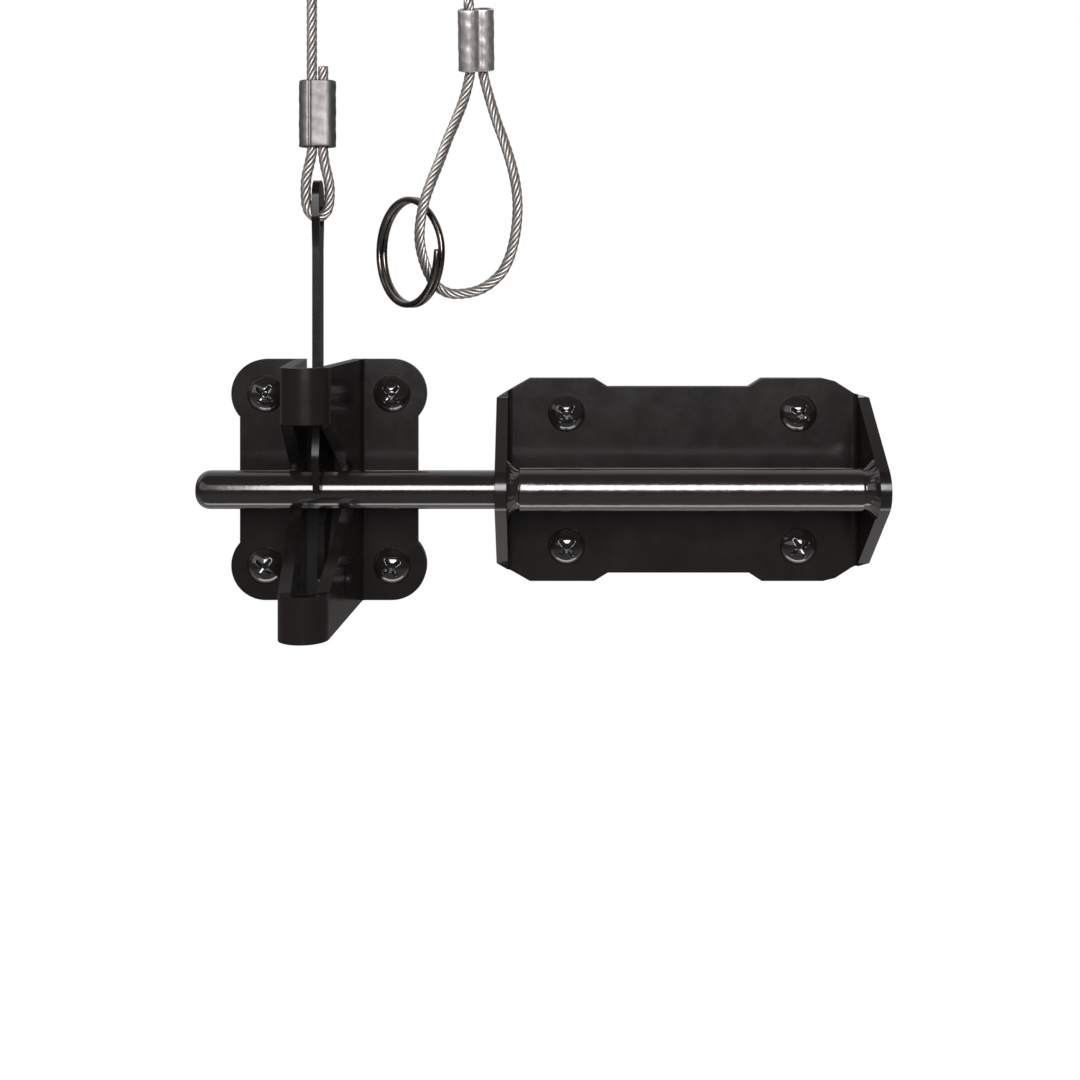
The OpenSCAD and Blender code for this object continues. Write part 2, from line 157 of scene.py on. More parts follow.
def sweep(name, path, section, first=Y_AXIS, scales=None, caps=True):
    """A section, as (a, b) pairs, swept along a path; scales shrinks it at each point."""
    _, normals, sides = travelling_frames(path, first)
    scales = np.ones(len(path)) if scales is None else scales
    n = len(section)
    points = []
    for p, a, b, s in zip(path, normals, sides, scales):
        points += [p + s * (u * a + v * b) for u, v in section]
    faces = grid_faces(len(path), n)
    if caps:
        faces.append(tuple(range(n - 1, -1, -1)))
        faces.append(tuple(range((len(path) - 1) * n, len(path) * n)))
    return add_mesh(name, points, faces)


def circle(radius, sides=32):
    angles = [TURN * k / sides for k in range(sides)]
    return [(radius * math.cos(a), radius * math.sin(a)) for a in angles]


def lathe(name, profile, place, axis, sides=64):
    """Turns (radius, height) pairs about an axis through place; ends at radius 0 are closed."""
    axis = Vector(axis).normalized()
    a = axis.orthogonal().normalized()
    b = axis.cross(a)
    points = []
    for radius, height in profile:
        for k in range(sides):
            t = TURN * k / sides
            points.append(
                Vector(place) + axis * height + (a * math.cos(t) + b * math.sin(t)) * radius
            )
    piece = add_mesh(name, points, grid_faces(len(profile), sides))
    weld_points(piece)
    return piece


def weld_points(piece, distance=1e-6):
    mesh = bmesh.new()
    mesh.from_mesh(piece.data)
    bmesh.ops.remove_doubles(mesh, verts=mesh.verts, dist=distance)
    bmesh.ops.recalc_face_normals(mesh, faces=mesh.faces)
    mesh.to_mesh(piece.data)
    mesh.free()


def joined(name, pieces):
    """Several mesh objects as one object."""
    whole = bmesh.new()
    for piece in pieces:
        whole.from_mesh(piece.data)
        bpy.data.objects.remove(piece)
    mesh = bpy.data.meshes.new(name)
    whole.to_mesh(mesh)
    whole.free()
    mesh.polygons.foreach_set("use_smooth", [True] * len(mesh.polygons))
    result = bpy.data.objects.new(name, mesh)
    bpy.context.scene.collection.objects.link(result)
    return result


def rounded_copy(name, node, radius, segments=3, limit=32):
    """A copy of a CAD node with its sharp edges rounded."""
    mesh = bmesh.new()
    mesh.from_mesh(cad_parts[node].data)
    bmesh.ops.remove_doubles(mesh, verts=mesh.verts, dist=2e-6)
    bmesh.ops.dissolve_limit(
        mesh, angle_limit=math.radians(0.4), verts=mesh.verts, edges=mesh.edges
    )
    data = bpy.data.meshes.new(name)
    mesh.to_mesh(data)
    mesh.free()
    data.polygons.foreach_set("use_smooth", [True] * len(data.polygons))
    piece = bpy.data.objects.new(name, data)
    bpy.context.scene.collection.objects.link(piece)
    bevel = piece.modifiers.new("round", "BEVEL")
    bevel.width = radius
    bevel.segments = segments
    bevel.limit_method = "ANGLE"
    bevel.angle_limit = math.radians(limit)
    bevel.use_clamp_overlap = True
    bevel.miter_outer = "MITER_ARC"
    flatten = piece.modifiers.new("flatten", "WEIGHTED_NORMAL")
    flatten.mode = "FACE_AREA"
    flatten.weight = 100
    return piece


def finish_piece(piece, material, body=None, node=None):
    """Gives a piece its material and says what it rides on and what it stands for."""
    piece.data.materials.clear()
    piece.data.materials.append(material)
    if body is not None:
        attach(piece, body)
    if node is not None:
        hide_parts(*([node] if isinstance(node, str) else node))
    return piece


# ---------------------------------------------------------------- material tools


class Shader:
    """A node material with the Principled shader, and short calls to wire it."""

    def __init__(self, name):
        self.material = bpy.data.materials.new(name)
        self.material.use_nodes = True
        self.tree = self.material.node_tree
        self.bsdf = self.tree.nodes["Principled BSDF"]
        self.place = self.add("ShaderNodeTexCoord").outputs["Object"]

    def add(self, kind, **values):
        node = self.tree.nodes.new(kind)
        for key, value in values.items():
            setattr(node, key, value)
        return node

    def link(self, source, target):
        self.tree.links.new(source, target)

    def put(self, node, socket, value):
        """Sets a socket to a number or a colour, or links it to an output."""
        if isinstance(value, bpy.types.NodeSocket):
            self.link(value, node.inputs[socket])
        else:
            node.inputs[socket].default_value = value

    def set(self, **values):
        for key, value in values.items():
            self.put(self.bsdf, key.replace("_", " "), value)

    def stretched(self, scale, source=None):
        node = self.add("ShaderNodeMapping")
        self.link(source or self.place, node.inputs["Vector"])
        node.inputs["Scale"].default_value = scale
        return node.outputs["Vector"]

    def noise(self, scale, detail=3.0, roughness=0.5, source=None):
        node = self.add("ShaderNodeTexNoise")
        self.link(source or self.place, node.inputs["Vector"])
        node.inputs["Scale"].default_value = scale
        node.inputs["Detail"].default_value = detail
        node.inputs["Roughness"].default_value = roughness
        return node.outputs["Fac"]

    def ramp(self, value, stops):
        node = self.add("ShaderNodeValToRGB")
        self.link(value, node.inputs["Fac"])
        elements = node.color_ramp.elements
        while len(elements) < len(stops):
            elements.new(0.5)
        for element, (place, colour) in zip(elements, stops):
            element.position = place
            element.color = (*colour, 1) if len(colour) == 3 else colour
        return node.outputs["Color"]

    def span(self, value, low, high, new_low, new_high):
        node = self.add("ShaderNodeMapRange")
        for socket, number in zip(
            ("From Min", "From Max", "To Min", "To Max"), (low, high, new_low, new_high)
        ):
            node.inputs[socket].default_value = number
        self.link(value, node.inputs["Value"])
        return node.outputs["Result"]

    def math(self, operation, a, b=None):
        node = self.add("ShaderNodeMath", operation=operation)
        self.put(node, 0, a)
        if b is not None:
            self.put(node, 1, b)
        return node.outputs[0]

    def mix(self, factor, a, b, blend="MIX"):
        node = self.add("ShaderNodeMix", data_type="RGBA", blend_type=blend)
        self.put(node, "Factor", factor)
        self.put(node, 6, a)
        self.put(node, 7, b)
        return node.outputs[2]

    def bump(self, height, distance, strength=1.0, base=None):
        node = self.add("ShaderNodeBump")
        node.inputs["Strength"].default_value = strength
        node.inputs["Distance"].default_value = distance
        self.link(height, node.inputs["Height"])
        if base is not None:
            self.link(base, node.inputs["Normal"])
        return node.outputs["Normal"]


def black_coat(name, tint=(0.0062, 0.0050, 0.0046), peel=0.000012, gloss=(0.07, 0.14), ior=1.52):
    """Gloss black coat on steel: orange peel, dust specks and a softer sheen where handled."""
    s = Shader(name)
    cloudy = s.noise(55, 4)
    dark = tuple(0.8 * c for c in tint)
    light = tuple(1.15 * c for c in tint)
    colour = s.ramp(cloudy, [(0.34, dark), (0.66, light)])
    specks = s.span(s.noise(2600, 2, 0.7), 0.70, 0.76, 0, 1)
    colour = s.mix(specks, colour, (0.013, 0.0115, 0.011, 1))
    rough = s.span(s.noise(180, 5, 0.65), 0.3, 0.7, *gloss)
    rough = s.math("ADD", rough, s.math("MULTIPLY", specks, 0.2))
    normal = s.bump(s.noise(620, 2), peel, 0.8)
    normal = s.bump(s.noise(2300, 3), peel * 0.25, 0.5, normal)
    s.set(Base_Color=colour, Roughness=rough, Normal=normal)
    s.bsdf.inputs["IOR"].default_value = ior
    return s.material


def wire_steel(name):
    """Bright stranded steel, with painted shade in the grooves between wires and on the inner side of
    each strand. U runs along the strand and V round it, from the outside.
    """
    s = Shader(name)
    uv = s.add("ShaderNodeUVMap")
    uv.uv_map = "UVMap"
    split = s.add("ShaderNodeSeparateXYZ")
    s.link(uv.outputs["UV"], split.inputs[0])
    along, round_it = split.outputs[0], split.outputs[1]
    # Six wires in a strand, laid the other way from the strands themselves
    phase = s.math("ADD", s.math("MULTIPLY", round_it, 6.0), s.math("MULTIPLY", along, 6.0 / 4.2))
    wave = s.math("ABSOLUTE", s.math("COSINE", s.math("MULTIPLY", phase, math.pi)))
    groove = s.span(wave, 0.0, 0.45, 0.0, 1.0)
    facing = s.math("COSINE", s.math("MULTIPLY", round_it, TURN))
    outward = s.span(facing, -0.25, 0.45, 0.0, 1.0)
    tone = s.ramp(s.noise(420, 4), [(0.3, (0.19, 0.178, 0.17)), (0.7, (0.30, 0.285, 0.275))])
    # Painted shade: the grooves between the wires are coloured darker; the same groove mask also drives
    # the bump.
    tone = s.mix(groove, (0.16, 0.15, 0.145, 1), tone)
    # Painted shade: each strand is coloured darker on its side facing in towards the other strands.
    tone = s.mix(outward, (0.12, 0.105, 0.095, 1), tone)
    rough = s.span(s.noise(900, 3), 0.3, 0.7, 0.42, 0.55)
    s.set(Base_Color=tone, Metallic=1.0, Roughness=rough, Normal=s.bump(groove, 0.00003, 0.35))
    return s.material


def satin_sleeve(name, tone, satin=(0.30, 0.40)):
    """Crimped soft metal: fine drawn lines, dents from the tool and grey oxide."""
    s = Shader(name)
    lines = s.noise(1.0, 5, 0.7, s.stretched((2600, 2600, 90)))
    cloudy = s.noise(300, 5, 0.6)
    low = tuple(0.74 * c for c in tone)
    high = tuple(1.12 * c for c in tone)
    colour = s.mix(s.span(lines, 0.35, 0.65, 0, 0.5), (*low, 1), (*high, 1))
    colour = s.mix(s.span(cloudy, 0.5, 0.75, 0, 0.55), colour, (*(0.6 * c for c in tone), 1))
    rough = s.math("ADD", s.span(cloudy, 0.3, 0.7, *satin), s.span(lines, 0.3, 0.7, -0.04, 0.04))
    normal = s.bump(lines, 0.00002, 0.5)
    normal = s.bump(s.noise(520, 2), 0.00006, 0.6, normal)
    s.set(Base_Color=colour, Metallic=1.0, Roughness=rough, Normal=normal)
    return s.material


def polished_steel(name, tone, rough=(0.14, 0.28), grain=900):
    """Plated or polished steel with hair scratches and a little staining."""
    s = Shader(name)
    stain = s.noise(240, 5, 0.6)
    scratches = s.noise(grain, 6, 0.8, s.stretched((1, 1, 7)))
    low = tuple(0.6 * c for c in tone)
    high = tuple(1.25 * c for c in tone)
    colour = s.mix(s.span(stain, 0.35, 0.65, 0, 1), (*low, 1), (*high, 1))
    fine = s.span(scratches, 0.35, 0.65, -0.04, 0.06)
    roughness = s.math("ADD", s.span(stain, 0.3, 0.7, *rough), fine)
    normal = s.bump(scratches, 0.00001, 0.4)
    s.set(Base_Color=colour, Metallic=1.0, Roughness=roughness, Normal=normal)
    return s.material


COAT = black_coat("black_coat", gloss=(0.10, 0.15), ior=1.46)
# Painted shade: a darker, less reflective copy of the black coat for the folded plates.
PLATE_COAT_SHADED = black_coat("plate_coat_painted_shade", tint=(0.0050, 0.0040, 0.0037), gloss=(0.16, 0.21), ior=1.32)
# Painted shade: an even darker, barely reflective copy of the black coat for the pawl.
PAWL_COAT_SHADED = black_coat("pawl_coat", tint=(0.0038, 0.0030, 0.0028), gloss=(0.18, 0.24), ior=1.18)
SCREW_COAT = black_coat(
    "screw_coat", tint=(0.0052, 0.0045, 0.0042), peel=0.000006, gloss=(0.06, 0.12)
)
SLEEVE_COAT = black_coat("sleeve_coat", peel=0.00004, gloss=(0.12, 0.2))
WELD_COAT = black_coat("weld_coat", peel=0.00003, gloss=(0.08, 0.16))
ROPE = wire_steel("wire_rope")
FERRULE_LEFT = satin_sleeve("release_sleeve_metal", (0.12, 0.112, 0.11), satin=(0.48, 0.56))
FERRULE_RIGHT = satin_sleeve("pull_sleeve_metal", (0.62, 0.58, 0.57))
RING_STEEL = polished_steel("ring_steel", (0.105, 0.092, 0.084))
HOOK_STEEL = polished_steel("hook_steel", (0.55, 0.54, 0.51), rough=(0.24, 0.4))
SPACER_STEEL = polished_steel("spacer_steel", (0.33, 0.32, 0.31), rough=(0.3, 0.45))

# ---------------------------------------------------------------- the cable

CABLE_D = 2.6 * MM
CABLE_STRANDS = 6
CABLE_LAY = 10.8 * MM
ROPE_STEP = 0.36 * MM
STRAND_SIDES = 12
ARM_Y = -25.2
ARCH_CENTRE = (18.5, 130)
ARCH_R = 19.5
RELEASE_SLEEVE = {"middle": (0.4, -25.2, 93.4), "length": 16.4, "gap": 2.8, "lean": 0, "turn": 0}
PULL_SLEEVE = {"middle": (39.6, -25.2, 111.7), "length": 15.2, "gap": 3.6, "lean": 18, "turn": 20}
STUB_L = 3.4

# Small loop through the pawl's eye, as X and Z in the plane of the arm, in millimetres
RELEASE_ROUTE = [
    (-1, 86.2), (-1, 84), (-1.6, 81), (-2.2, 78.5), (-2.5, 76), (-2.5, 73.5), (-2.3, 71),
    (-1.7, 69.3), (-0.8, 68.3), (0.4, 68), (1.6, 68.3), (2.6, 69.3), (3.2, 71),
    (3.4, 73.5), (3.3, 76), (2.8, 78.5), (2.2, 81), (1.8, 84), (1.8, 86.2),
]


def in_sleeve(sleeve, bore, end, out):
    """A place on a sleeve's cable: which bore, which end, and how far out of that end."""
    turn, lean = math.radians(sleeve["turn"]), math.radians(sleeve["lean"])
    x = bore * sleeve["gap"] / 2 * math.cos(turn)
    y = bore * sleeve["gap"] / 2 * math.sin(turn)
    z = end * (sleeve["length"] / 2 + out)
    cx, cy, cz = sleeve["middle"]
    return (
        cx + x,
        cy + y * math.cos(lean) - z * math.sin(lean),
        cz + y * math.sin(lean) + z * math.cos(lean),
    )


# Short stretch from the arch down into the upper sleeve, in millimetres
PULL_TOP_ROUTE = [
    (38, -25.2, 130), (38, -25.2, 128.6), (38, -25.7, 126.4),
    (38, -26.9, 123.8), (37.9, -28.1, 121.4),
    in_sleeve(PULL_SLEEVE, -1, 1, 1.2), in_sleeve(PULL_SLEEVE, -1, 1, -1),
]

# Large loop that carries the pull ring, in millimetres
PULL_ROUTE = [
    in_sleeve(PULL_SLEEVE, -1, -1, -1), in_sleeve(PULL_SLEEVE, -1, -1, 1.2), (36.5, -22.6, 97.5),
    (34.5, -23.6, 92), (32.5, -25, 87), (30.8, -26.5, 82), (28.9, -27.8, 77), (27.2, -28.5, 72),
    (26.1, -28.2, 67), (25.8, -27.2, 62), (26.7, -25.6, 57), (28.6, -23.8, 52.4),
    (31.2, -23.2, 49.8), (34.8, -23.4, 48.9), (40.5, -23.8, 50), (45.2, -24.2, 53.4),
    (47.6, -24.6, 57.4), (49, -24.8, 62.2), (49.7, -25, 67.2), (49.8, -25.2, 72),
    (49.2, -25, 77), (48, -24.5, 82), (46.4, -23.6, 87), (44.6, -22.6, 92),
    (42.9, -21.9, 97.5), in_sleeve(PULL_SLEEVE, 1, -1, 1.2), in_sleeve(PULL_SLEEVE, 1, -1, -1),
]


def rope(name, path, start=0.0):
    """Six strands laid round the cable's middle; no core is built. start is how far along the whole
    cable the path begins.
    """
    tangents, normals, sides = travelling_frames(path)
    along = start + np.concatenate([[0], np.cumsum(np.linalg.norm(np.diff(path, axis=0), axis=1))])
    strand_r = CABLE_D / 6
    helix_r = CABLE_D / 3
    points, faces, uv = [], [], []
    n = len(path)
    for strand in range(CABLE_STRANDS):
        turn = TURN * (strand / CABLE_STRANDS + along / CABLE_LAY)
        outward = normals * np.cos(turn)[:, None] + sides * np.sin(turn)[:, None]
        middle = path + helix_r * outward
        heading = np.gradient(middle, axis=0)
        heading /= np.linalg.norm(heading, axis=1)[:, None]
        level = np.cross(heading, outward)
        first = len(points)
        for i in range(n):
            for k in range(STRAND_SIDES):
                t = TURN * k / STRAND_SIDES
                points.append(
                    middle[i] + strand_r * (outward[i] * math.cos(t) + level[i] * math.sin(t))
                )
        for i in range(n - 1):
            for k in range(STRAND_SIDES):
                m = (k + 1) % STRAND_SIDES
                a, b = first + i * STRAND_SIDES, first + (i + 1) * STRAND_SIDES
                faces.append((a + k, a + m, b + m, b + k))
                low, high = along[i] / MM, along[i + 1] / MM
                u, v = k / STRAND_SIDES, (k + 1) / STRAND_SIDES
                uv += [(low, u), (low, v), (high, v), (high, u)]
        for ring, order in ((0, -1), (n - 1, 1)):
            cap = [first + ring * STRAND_SIDES + k for k in range(STRAND_SIDES)][::order]
            faces.append(tuple(cap))
            uv += [(along[ring] / MM, 0.0)] * STRAND_SIDES
    piece = add_mesh(name, points, faces, uv=uv)
    return piece


def strand_line(x, low, high):
    ends = np.array([[x, ARM_Y, low], [x, ARM_Y, high]], float) * MM
    return resampled(ends, ROPE_STEP)


def arch_line(start, end):
    """Part of the cable over the hook, between two angles in degrees from +X."""
    angles = np.radians(np.linspace(start, end, 60))
    x = ARCH_CENTRE[0] + ARCH_R * np.cos(angles)
    z = ARCH_CENTRE[1] + ARCH_R * np.sin(angles)
    line = np.stack([x, np.full_like(x, ARM_Y), z], axis=1) * MM
    return resampled(line, ROPE_STEP)


def route_line(route):
    return smooth_path([tuple(c * MM for c in place) for place in route], ROPE_STEP)


def build_cable():
    middle, half = RELEASE_SLEEVE["middle"], RELEASE_SLEEVE["length"] / 2
    release_top = middle[2] + half
    left_x, right_x = ARCH_CENTRE[0] - ARCH_R, ARCH_CENTRE[0] + ARCH_R
    hook_top = [ARCH_CENTRE[0] * MM, ARM_Y * MM, (ARCH_CENTRE[1] + ARCH_R) * MM]
    bite = 1.0

    rising = strand_line(left_x, release_top - bite, ARCH_CENTRE[1])
    up = np.vstack([rising[:-1], arch_line(180, 90)])
    release_upper = rope("release_upper_cable", up)
    over = length_of(up)
    down = np.vstack([arch_line(90, 0)[:-1], route_line(PULL_TOP_ROUTE)])
    pull_upper = rope("pull_upper_cable", down, over)

    small = route_line([(x, ARM_Y, z) for x, z in RELEASE_ROUTE])
    release_loop = rope("release_eye_loop", small)
    large = route_line(PULL_ROUTE)
    pull_loop = rope("pull_eye_loop", large)

    stub_x = left_x + RELEASE_SLEEVE["gap"]
    stub = rope("release_cut_end", strand_line(stub_x, release_top - bite, release_top + STUB_L))

    finish_piece(release_upper, ROPE, node=["release_strand", "cable_arch"])
    finish_piece(pull_upper, ROPE, node=["pull_strand", "cable_arch"])
    finish_piece(release_loop, ROPE, "release_end", "release_loop")
    finish_piece(pull_loop, ROPE, "pull_end", "pull_loop")
    finish_piece(stub, ROPE, "release_end", "release_strand")
    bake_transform(release_upper)
    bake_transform(pull_upper)
    return {
        "release_upper": (release_upper, up, hook_top),
        "pull_upper": (pull_upper, down, hook_top),
        "release_loop": (release_loop, small, list(small[0])),
        "pull_loop": (pull_loop, large, list(large[0])),
        "stub": stub,
    }


cable = build_cable()

# ---------------------------------------------------------------- crimped sleeves

FERRULE_LOBE = 2.6
FERRULE_SPREAD = 1.95


def sleeve_outline(groove_x, groove_w, groove_depth, samples=120):
    """Outline of a crimped sleeve, as X and Y in millimetres, with a groove front and back."""
    half = FERRULE_SPREAD
    straight = 4 * half
    bends = TURN * FERRULE_LOBE
    outline = []
    for i in range(samples):
        d = (straight + bends) * i / samples
        if d < 2 * half:
            x, y = -half + d, -FERRULE_LOBE
        elif d < 2 * half + bends / 2:
            t = (d - 2 * half) / FERRULE_LOBE - math.pi / 2
            x, y = half + FERRULE_LOBE * math.cos(t), FERRULE_LOBE * math.sin(t)
        elif d < 4 * half + bends / 2:
            x, y = half - (d - 2 * half - bends / 2), FERRULE_LOBE
        else:
            t = (d - 4 * half - bends / 2) / FERRULE_LOBE + math.pi / 2
            x, y = -half + FERRULE_LOBE * math.cos(t), FERRULE_LOBE * math.sin(t)
        dent = groove_depth * math.exp(-(((x - groove_x) / groove_w) ** 2))
        outline.append((x, y * (1 - dent / FERRULE_LOBE)))
    return outline


def ferrule(name, sleeve, groove, bulge):
    """A sleeve pressed round two runs of cable, open at both ends."""
    outline = sleeve_outline(*groove)
    length = sleeve["length"]
    rng = np.random.default_rng(7)
    phases = rng.uniform(0, TURN, 6)
    mouth, wall, lip = 1.1, 0.62, 0.34
    # (height, inset) pairs: up the inside at the foot, round the lip, up the outside and back in
    steps = [(mouth, -wall - lip)]
    steps += [(lip * 0.25, -wall)]
    steps += [
        (lip * (1 - math.cos(a)), -lip * (1 - math.sin(a)))
        for a in np.linspace(-0.9, math.pi / 2, 7)
    ]
    levels = [(h, i) for h, i in steps]
    body = [(h, 0.0) for h in np.linspace(1.0, length - 1.0, 22)]
    top = [(length - h, i) for h, i in reversed(levels)]
    levels = levels + body + top
    points = []
    turn, lean = math.radians(sleeve["turn"]), math.radians(sleeve["lean"])
    c, s = math.cos(turn), math.sin(turn)
    cx, cy, cz = sleeve["middle"]
    n = len(outline)
    for h, inset in levels:
        share = h / length
        swell = bulge * math.sin(math.pi * share)
        for k, (u, v) in enumerate(outline):
            a, b = outline[(k + 1) % n], outline[k - 1]
            out = np.array([a[1] - b[1], b[0] - a[0]])
            out /= np.linalg.norm(out)
            wave = 0.035 * math.sin(2.1 * h + phases[0] + 2 * TURN * k / n)
            wave += 0.03 * math.sin(0.9 * h + phases[1] + 3 * TURN * k / n)
            grow = inset + swell + wave
            px, py = u + out[0] * grow, v + out[1] * grow
            x, y, z = c * px - s * py, s * px + c * py, h - length / 2
            y, z = y * math.cos(lean) - z * math.sin(lean), y * math.sin(lean) + z * math.cos(lean)
            points.append(((cx + x) * MM, (cy + y) * MM, (cz + z) * MM))
    faces = grid_faces(len(levels), n)
    faces.append(tuple(range(n)))
    faces.append(tuple(range((len(levels) - 1) * n, len(levels) * n))[::-1])
    piece = add_mesh(name, points, faces)
    weld_points(piece)
    return piece


release_ferrule = ferrule("release_crimp_sleeve", RELEASE_SLEEVE, (-1.6, 0.3, 0.32), 0.0)
finish_piece(release_ferrule, FERRULE_LEFT, "release_end", "release_ferrule")
pull_ferrule = ferrule("pull_crimp_sleeve", PULL_SLEEVE, (0.1, 0.8, 0.55), 0.0)
finish_piece(pull_ferrule, FERRULE_RIGHT, "pull_end", "pull_ferrule")

# ---------------------------------------------------------------- pull ring

RING_CENTRE = np.array([22.6, -18.7, 59.4]) * MM
RING_R = 14 * MM
RING_TURN = math.radians(-52)
RING_WIRE = (1.6 * MM, 1.4 * MM)


def build_ring():
    """A split ring: the wire goes round nearly twice and steps over between its two ends."""
    double, single = math.radians(285), math.radians(75)
    across = np.array([math.cos(RING_TURN), math.sin(RING_TURN), 0])
    axis = np.array([-math.sin(RING_TURN), math.cos(RING_TURN), 0])
    up = np.array([0, 0, 1.0])
    middle_r = RING_R - RING_WIRE[0] / 2
    total = 2 * double + single
    count = 300
    path, radial = [], []
    for i in range(count):
        t = total * i / (count - 1)
        step = min(max((t - double) / single, 0), 1)
        side = -1 + 2 * (step * step * (3 - 2 * step))
        place = -t + math.radians(2)
        out = across * math.cos(place) + up * math.sin(place)
        path.append(RING_CENTRE + middle_r * out + axis * side * RING_WIRE[1] / 2)
        radial.append(out)
    path, radial = np.array(path), np.array(radial)
    section = []
    for k in range(20):
        t = TURN * k / 20
        c, s = math.cos(t), math.sin(t)
        a = RING_WIRE[0] / 2 * math.copysign(abs(c) ** 0.62, c)
        b = RING_WIRE[1] / 2 * math.copysign(abs(s) ** 0.62, s)
        section.append((a, b * 0.985))
    points = []
    ends = 4
    for i, (p, out) in enumerate(zip(path, radial)):
        close = min(i, count - 1 - i)
        scale = 1 if close >= ends else 0.8 + 0.2 * math.sqrt(close / ends)
        points += [p + scale * (a * out + b * axis) for a, b in section]
    n = len(section)
    faces = grid_faces(count, n)
    faces.append(tuple(range(n))[::-1])
    faces.append(tuple(range((count - 1) * n, count * n)))
    piece = add_mesh("split_pull_ring", points, faces)
    weld_points(piece)
    return piece


pull_ring = build_ring()
finish_piece(pull_ring, RING_STEEL, "pull_ring", "pull_ring")

# ---------------------------------------------------------------- folded plates and pawl

for plate, (node, body, radius, coat, slot) in {
    "latch_bracket": ("latch_body", "post_side", 1.0 * MM, PLATE_COAT_SHADED, "black_coat"),
    "lifting_pawl": ("pawl", "pawl", 0.3 * MM, PAWL_COAT_SHADED, "pawl_coat"),
    "eared_gate_plate": ("striker_plate", "gate_side", 0.5 * MM, PLATE_COAT_SHADED, "black_coat"),
}.items():
    finish_piece(rounded_copy(plate, node, radius), coat, body, node)

# ---------------------------------------------------------------- bar, sleeve and welds


def build_bar():
    """The bar, rounded at its free end and chamfered where it's welded."""
    low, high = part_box("striker_bar")
    radius, rounding, chamfer = 4.8 * MM, 3.6 * MM, 0.6 * MM
    axis_y = low.y + radius
    into = rounding * (1 - np.cos(np.linspace(0, math.pi / 2, 24)))
    xs = list(low.x + into)
    scales = list((radius - rounding + np.sqrt(rounding**2 - (rounding - into) ** 2)) / radius)
    body = np.linspace(xs[-1], high.x - chamfer, 60)[1:]
    xs += [*body, high.x - 0.35 * chamfer, high.x]
    scales += [1] * len(body) + [0.95, 0.86]
    path = np.array([(x, axis_y, 0) for x in xs])
    piece = sweep("striker_rod", path, circle(radius, 48), np.array([0, 0, 1.0]), scales)
    add_edge_split(piece)
    return piece


def add_edge_split(piece, angle=40):
    piece.data.polygons.foreach_set("use_smooth", [True] * len(piece.data.polygons))
    sharp = bmesh.new()
    sharp.from_mesh(piece.data)
    for edge in sharp.edges:
        if len(edge.link_faces) == 2 and edge.calc_face_angle(0) > math.radians(angle):
            edge.smooth = False
    sharp.to_mesh(piece.data)
    sharp.free()


finish_piece(build_bar(), COAT, "gate_side", "striker_bar")


def build_sleeve():
    """The sleeve on the bar between the welds, with rounded ends."""
    low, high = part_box("bar_sleeve")
    outer, inner, soft = (high.z - low.z) / 2, 4.85 * MM, 0.25 * MM
    length = high.x - low.x
    profile = [(inner, 0.0), (outer - soft, 0.0), (outer - 0.3 * soft, 0.3 * soft), (outer, soft)]
    profile += [(outer, h) for h in np.linspace(3 * soft, length - 3 * soft, 40)]
    profile += [(r, length - h) for r, h in reversed(profile[:4])]
    profile.append((inner, 0.0))
    place = (low.x, (low.y + high.y) / 2, 0)
    piece = lathe("rod_sleeve", profile, place, (1, 0, 0))
    add_edge_split(piece, 50)
    return piece


finish_piece(build_sleeve(), SLEEVE_COAT, "gate_side", "bar_sleeve")


def build_weld(name, node, facing):
    """A fillet of weld round the bar, in the small overlapping scales that a bead has."""
    low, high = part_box(node)
    outer, inner = (high.z - low.z) / 2, 4.85 * MM
    length = high.x - low.x
    base_x = low.x if facing > 0 else high.x
    centre_y = (low.y + high.y) / 2
    rng = np.random.default_rng(3 if facing > 0 else 4)
    sides, rings = 120, 14
    scales = 26
    jitter = rng.uniform(-0.35, 0.35, scales)
    points = []
    for i in range(rings):
        share = i / (rings - 1)
        curve = (1 - share) ** 1.55
        for k in range(sides):
            t = TURN * k / sides
            place = t / TURN * scales
            ripple = abs(math.sin(math.pi * (place + 0.3 * jitter[int(place) % scales])))
            depth = 0.16 * MM * (1 - ripple) * math.sin(math.pi * min(1, share * 1.2 + 0.08))
            radius = inner + (outer - inner) * curve - depth
            radius = max(radius, inner - 0.02 * MM)
            x = base_x + facing * length * share
            points.append((x, centre_y + radius * math.cos(t), radius * math.sin(t)))
    piece = add_mesh(name, points, grid_faces(rings, sides))
    weld_points(piece)
    return piece


for end, side in (("left", 1), ("right", -1)):
    bead = build_weld("weld_bead_" + end, "weld_" + end, side)
    finish_piece(bead, WELD_COAT, "gate_side", "weld_" + end)

# ---------------------------------------------------------------- screws

SCREW_PITCH = 2.1 * MM
WING_L = 2.75 * MM
WING_W = 0.52 * MM


def recess_depth(x, z, turn):
    """How far the cross recess is cut into the head at a place on it."""
    c, s = math.cos(turn), math.sin(turn)
    u, v = c * x + s * z, -s * x + c * z
    deepest = 0.0
    for a, b in ((u, v), (v, u)):
        reach = 1 - abs(a) / WING_L
        if reach <= 0:
            continue
        half = WING_W * (0.72 + 0.5 * reach)
        wall = (half - abs(b)) / (0.16 * MM)
        floor = (0.75 + 1.25 * min(1, reach * 1.4)) * MM
        deepest = max(deepest, floor * min(max(wall, 0), 1) * min(1, reach * 5))
    core = math.hypot(u, v)
    if core < 1.15 * MM:
        deepest = max(deepest, 2.0 * MM * min(1, (1.15 * MM - core) / (0.3 * MM)))
    return deepest


